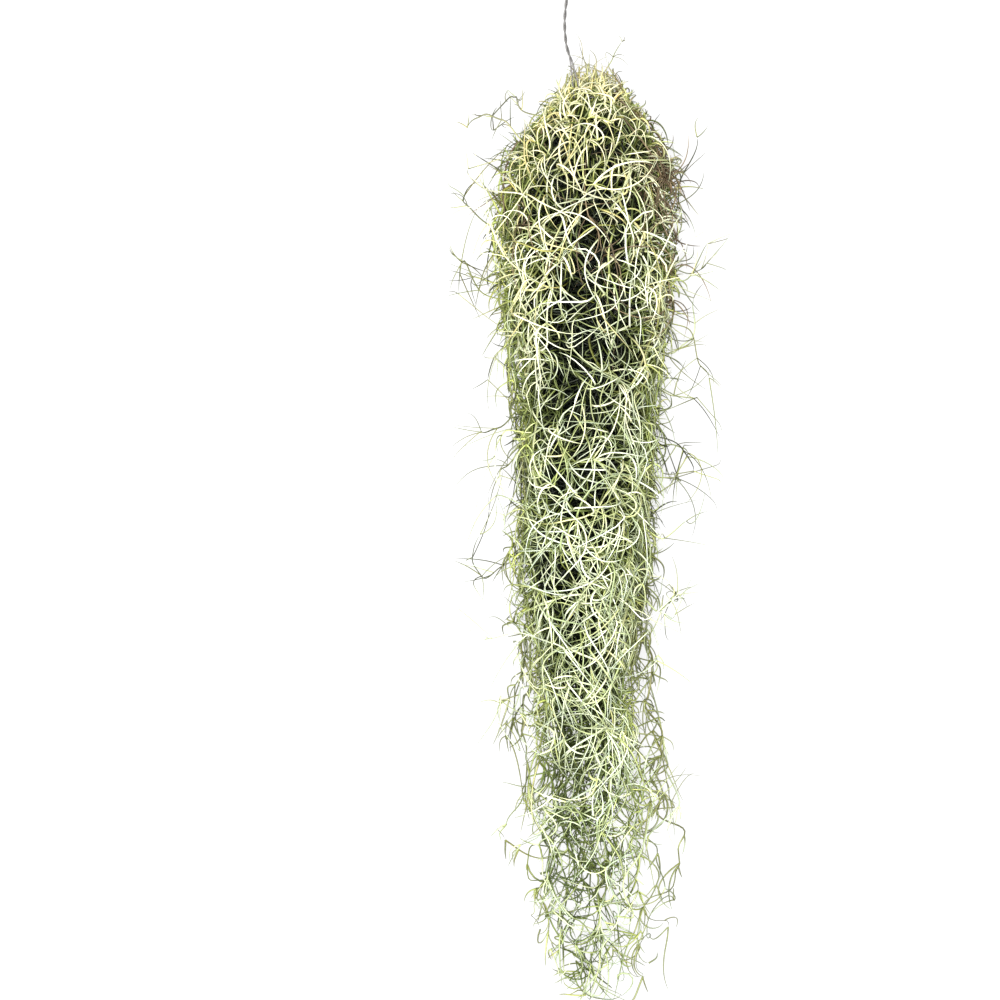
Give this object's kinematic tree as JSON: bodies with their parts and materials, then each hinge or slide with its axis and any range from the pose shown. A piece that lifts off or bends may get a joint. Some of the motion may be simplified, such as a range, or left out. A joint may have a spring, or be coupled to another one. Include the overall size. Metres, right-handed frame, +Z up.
{
  "type": "spanish moss bunch",
  "caption": "Bunch of Spanish moss: wavy strands with curling thread leaves, bound at the crown by a twisted wire hanger, lying on a surface.",
  "frame": {"origin": "middle of the bunch's box, on the surface it lies on", "axes": "+Y along the bunch towards its crown and hook, +X across it, +Z up"},
  "size_m": [0.168, 0.6788, 0.0899],
  "materials": {
    "living_moss": "matte",
    "dry_moss": "matte",
    "wire": "satin"
  },
  "bodies": {
    "root": {"moss_strand_01": "living_moss", "moss_strand_02": "living_moss", "moss_strand_03": "living_moss", "moss_strand_04": "living_moss", "moss_strand_05": "living_moss", "moss_strand_06": "living_moss", "moss_strand_07": "living_moss", "moss_strand_08": "living_moss", "moss_strand_09": "living_moss", "moss_strand_10": "living_moss", "moss_strand_11": "living_moss", "moss_strand_12": "living_moss", "moss_strand_13": "living_moss", "moss_strand_14": "living_moss", "moss_strand_15": "living_moss", "moss_strand_16": "living_moss", "moss_strand_17": "living_moss", "moss_strand_18": "living_moss", "moss_strand_19": "living_moss", "moss_strand_20": "living_moss", "moss_strand_21": "living_moss", "moss_strand_22": "living_moss", "moss_strand_23": "living_moss", "moss_strand_24": "living_moss", "moss_strand_25": "living_moss", "moss_strand_26": "living_moss", "moss_strand_27": "living_moss", "moss_strand_28": "living_moss", "moss_strand_29": "living_moss", "moss_strand_30": "living_moss", "moss_strand_31": "living_moss", "moss_strand_32": "living_moss", "moss_strand_33": "living_moss", "moss_strand_34": "living_moss", "moss_strand_35": "living_moss", "moss_strand_36": "living_moss", "moss_strand_37": "living_moss", "dry_strand_01": "dry_moss", "dry_strand_02": "dry_moss", "dry_strand_03": "dry_moss", "wire_hanger": "wire"}
  },
  "joints": []
}
